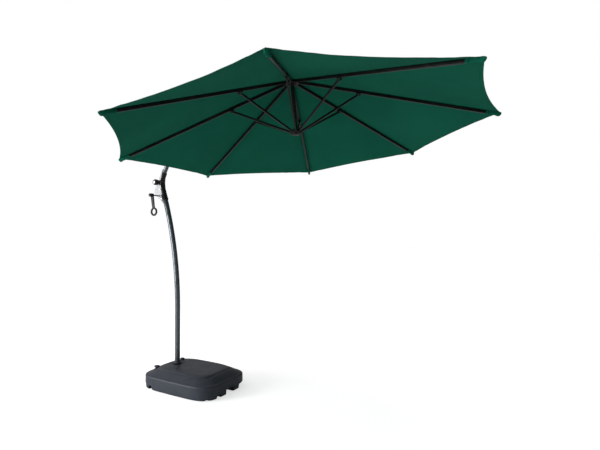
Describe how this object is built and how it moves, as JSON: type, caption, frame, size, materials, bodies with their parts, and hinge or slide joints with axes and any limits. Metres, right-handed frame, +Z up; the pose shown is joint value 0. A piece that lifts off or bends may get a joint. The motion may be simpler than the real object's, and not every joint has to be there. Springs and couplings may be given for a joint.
{
  "type": "cantilever patio umbrella with ballast base",
  "caption": "Cantilever patio umbrella: bent mast on a ballast tank, crank winch, tilting arm and a hanging rib-and-strut canopy that folds.",
  "frame": {"origin": "on the mast's axis at ground level, under the middle rubber pad", "axes": "+Z up, +X from the mast towards the middle of the canopy, XZ is the plane of symmetry; the winch is on the -Y side"},
  "size_m": [2.9266, 2.7848, 2.6985],
  "materials": {
    "black_steel": "satin powder coat",
    "bright_steel": "zinc plated",
    "tank_plastic": "fine leather-grain moulded",
    "sand": "loose damp sand",
    "pad_rubber": "matt",
    "white_nylon": "natural nylon",
    "mast_paint": "gunmetal powder coat, satin",
    "plate_zinc": "silver paint, satin",
    "black_plastic": "satin moulded",
    "cord_fibre": "braided polyester",
    "canopy_fabric": "dark green woven polyester"
  },
  "bodies": {
    "root": {"base_tank": "tank_plastic", "sand_fill": "sand", "cross_base": "black_steel", "foot_pads": "pad_rubber", "mast_socket": "black_steel", "socket_bolts": "bright_steel", "mast_bearing": "white_nylon", "socket_collar": "tank_plastic"},
    "filler_cap": {"filler_cap": "tank_plastic"},
    "vent_cap": {"vent_cap": "tank_plastic"},
    "mast": {"mast_tube": "mast_paint", "mast_head": "black_plastic", "side_plates": "plate_zinc", "plate_bolts": "bright_steel", "tilt_bolt": "bright_steel"},
    "tilt_knob": {"tilt_knob": "black_plastic", "knob_cap": "bright_steel"},
    "crank": {"reel_drum": "bright_steel", "wound_cord": "cord_fibre", "crank_handle": "black_plastic", "crank_cap": "black_plastic"},
    "arm": {"arm_tube": "mast_paint", "arm_foot": "black_plastic", "arm_fork": "black_plastic", "swing_pin": "bright_steel"},
    "head": {"upper_hub": "black_plastic", "rib_pins": "bright_steel", "centre_post": "black_steel", "hub_cap": "black_plastic", "canopy_hanger": "black_plastic", "pulley_pin": "bright_steel", "lift_cord": "cord_fibre"},
    "pulley": {"pulley": "white_nylon"},
    "runner": {"runner": "black_plastic"},
    "rib_0": {"rib_0": "black_steel", "panel_0": "canopy_fabric"},
    "strut_0": {"strut_0": "black_steel"},
    "rib_1": {"rib_1": "black_steel", "panel_1": "canopy_fabric"},
    "strut_1": {"strut_1": "black_steel"},
    "rib_2": {"rib_2": "black_steel", "panel_2": "canopy_fabric"},
    "strut_2": {"strut_2": "black_steel"},
    "rib_3": {"rib_3": "black_steel", "panel_3": "canopy_fabric"},
    "strut_3": {"strut_3": "black_steel"},
    "rib_4": {"rib_4": "black_steel", "panel_4": "canopy_fabric"},
    "strut_4": {"strut_4": "black_steel"},
    "rib_5": {"rib_5": "black_steel", "panel_5": "canopy_fabric"},
    "strut_5": {"strut_5": "black_steel"},
    "rib_6": {"rib_6": "black_steel", "panel_6": "canopy_fabric"},
    "strut_6": {"strut_6": "black_steel"},
    "rib_7": {"rib_7": "black_steel", "panel_7": "canopy_fabric"},
    "strut_7": {"strut_7": "black_steel"}
  },
  "joints": [
    {"name": "mast_turn", "type": "hinge", "parent": "root", "child": "mast", "pos_m": [0, 0, 0.1], "axis": [0, 0, 1], "continuous": true},
    {"name": "filler_cap_lift", "type": "slide", "parent": "root", "child": "filler_cap", "axis": [0, 0, 1], "range_m": [0, 0.06]},
    {"name": "vent_cap_lift", "type": "slide", "parent": "root", "child": "vent_cap", "axis": [0, 0, 1], "range_m": [0, 0.06]},
    {"name": "arm_tilt", "type": "hinge", "parent": "mast", "child": "arm", "pos_m": [-0.2201, 0, 1.865], "axis": [0, 1, 0], "range_deg": [-8, 25]},
    {"name": "knob_turn", "type": "hinge", "parent": "mast", "child": "tilt_knob", "pos_m": [-0.2201, -0.06, 1.865], "axis": [0, 1, 0], "continuous": true},
    {"name": "canopy_swing", "type": "hinge", "parent": "arm", "child": "head", "pos_m": [1.20623, 0, 2.66059], "axis": [0, 1, 0], "range_deg": [-20, 0]},
    {"name": "crank_turn", "type": "hinge", "parent": "mast", "child": "crank", "pos_m": [-0.224, -0.05, 1.738], "axis": [0, 1, 0], "range_deg": [0, 2609]},
    {"name": "pulley_turn", "type": "hinge", "parent": "head", "child": "pulley", "pos_m": [1.19303, 0, 2.62422], "axis": [0, 1, 0], "range_deg": [-2516, 0]},
    {"name": "runner_slide", "type": "slide", "parent": "head", "child": "runner", "axis": [0.0924, 0, -0.9957], "range_m": [0, 0.6154], "deforming": ["lift_cord"]},
    {"name": "rib_0_fold", "type": "hinge", "parent": "head", "child": "rib_0", "pos_m": [1.22872, -0.03326, 2.56727], "axis": [0.9199, 0.3827, 0.0853], "range_deg": [0, 67.7], "deforming": ["panel_0"]},
    {"name": "strut_0_swing", "type": "hinge", "parent": "rib_0", "child": "strut_0", "pos_m": [1.42146, -0.46296, 2.41652], "axis": [0.9199, 0.3827, 0.0853], "range_deg": [-129.05, 0.2]},
    {"name": "rib_1_fold", "type": "hinge", "parent": "head", "child": "rib_1", "pos_m": [1.24812, -0.01378, 2.56907], "axis": [0.381, 0.9239, 0.0353], "range_deg": [-0.1, 67.8], "deforming": ["panel_1"]},
    {"name": "strut_1_swing", "type": "hinge", "parent": "rib_1", "child": "strut_1", "pos_m": [1.69149, -0.19177, 2.44157], "axis": [0.381, 0.9239, 0.0353], "range_deg": [-129.05, 0.2]},
    {"name": "rib_2_fold", "type": "hinge", "parent": "head", "child": "rib_2", "pos_m": [1.24812, 0.01378, 2.56907], "axis": [-0.381, 0.9239, -0.0353], "range_deg": [-0.1, 67.8], "deforming": ["panel_2"]},
    {"name": "strut_2_swing", "type": "hinge", "parent": "rib_2", "child": "strut_2", "pos_m": [1.69149, 0.19177, 2.44157], "axis": [-0.381, 0.9239, -0.0353], "range_deg": [-129.05, 0.2]},
    {"name": "rib_3_fold", "type": "hinge", "parent": "head", "child": "rib_3", "pos_m": [1.22872, 0.03326, 2.56727], "axis": [-0.9199, 0.3827, -0.0853], "range_deg": [-0.1, 67.8], "deforming": ["panel_3"]},
    {"name": "strut_3_swing", "type": "hinge", "parent": "rib_3", "child": "strut_3", "pos_m": [1.42146, 0.46296, 2.41652], "axis": [-0.9199, 0.3827, -0.0853], "range_deg": [-129.05, 0.2]},
    {"name": "rib_4_fold", "type": "hinge", "parent": "head", "child": "rib_4", "pos_m": [1.20128, 0.03326, 2.56473], "axis": [-0.9199, -0.3827, -0.0853], "range_deg": [-0.1, 67.8], "deforming": ["panel_4"]},
    {"name": "strut_4_swing", "type": "hinge", "parent": "rib_4", "child": "strut_4", "pos_m": [1.03956, 0.46296, 2.38109], "axis": [-0.9199, -0.3827, -0.0853], "range_deg": [-129.05, 0.2]},
    {"name": "rib_5_fold", "type": "hinge", "parent": "head", "child": "rib_5", "pos_m": [1.18188, 0.01378, 2.56293], "axis": [-0.381, -0.9239, -0.0353], "range_deg": [-0.1, 67.8], "deforming": ["panel_5"]},
    {"name": "strut_5_swing", "type": "hinge", "parent": "rib_5", "child": "strut_5", "pos_m": [0.76953, 0.19177, 2.35604], "axis": [-0.381, -0.9239, -0.0353], "range_deg": [-129.05, 0.2]},
    {"name": "rib_6_fold", "type": "hinge", "parent": "head", "child": "rib_6", "pos_m": [1.18188, -0.01378, 2.56293], "axis": [0.381, -0.9239, 0.0353], "range_deg": [-0.1, 67.8], "deforming": ["panel_6"]},
    {"name": "strut_6_swing", "type": "hinge", "parent": "rib_6", "child": "strut_6", "pos_m": [0.76953, -0.19177, 2.35604], "axis": [0.381, -0.9239, 0.0353], "range_deg": [-129.05, 0.2]},
    {"name": "rib_7_fold", "type": "hinge", "parent": "head", "child": "rib_7", "pos_m": [1.20128, -0.03326, 2.56473], "axis": [0.9199, -0.3827, 0.0853], "range_deg": [-0.1, 67.8], "deforming": ["panel_7"]},
    {"name": "strut_7_swing", "type": "hinge", "parent": "rib_7", "child": "strut_7", "pos_m": [1.03956, -0.46296, 2.38109], "axis": [0.9199, -0.3827, 0.0853], "range_deg": [-129.05, 0.2]}
  ],
  "couplings": [
    {"joint": "runner_slide", "follows": "rib_0_fold", "m_per_rad": 0.51914},
    {"joint": "crank_turn", "follows": "rib_0_fold", "ratio": 38.455},
    {"joint": "pulley_turn", "follows": "rib_0_fold", "ratio": -37.081},
    {"joint": "strut_0_swing", "follows": "rib_0_fold", "ratio": -1.9033},
    {"joint": "rib_1_fold", "follows": "rib_0_fold", "ratio": 1},
    {"joint": "strut_1_swing", "follows": "rib_0_fold", "ratio": -1.9033},
    {"joint": "rib_2_fold", "follows": "rib_0_fold", "ratio": 1},
    {"joint": "strut_2_swing", "follows": "rib_0_fold", "ratio": -1.9033},
    {"joint": "rib_3_fold", "follows": "rib_0_fold", "ratio": 1},
    {"joint": "strut_3_swing", "follows": "rib_0_fold", "ratio": -1.9033},
    {"joint": "rib_4_fold", "follows": "rib_0_fold", "ratio": 1},
    {"joint": "strut_4_swing", "follows": "rib_0_fold", "ratio": -1.9033},
    {"joint": "rib_5_fold", "follows": "rib_0_fold", "ratio": 1},
    {"joint": "strut_5_swing", "follows": "rib_0_fold", "ratio": -1.9033},
    {"joint": "rib_6_fold", "follows": "rib_0_fold", "ratio": 1},
    {"joint": "strut_6_swing", "follows": "rib_0_fold", "ratio": -1.9033},
    {"joint": "rib_7_fold", "follows": "rib_0_fold", "ratio": 1},
    {"joint": "strut_7_swing", "follows": "rib_0_fold", "ratio": -1.9033}
  ]
}
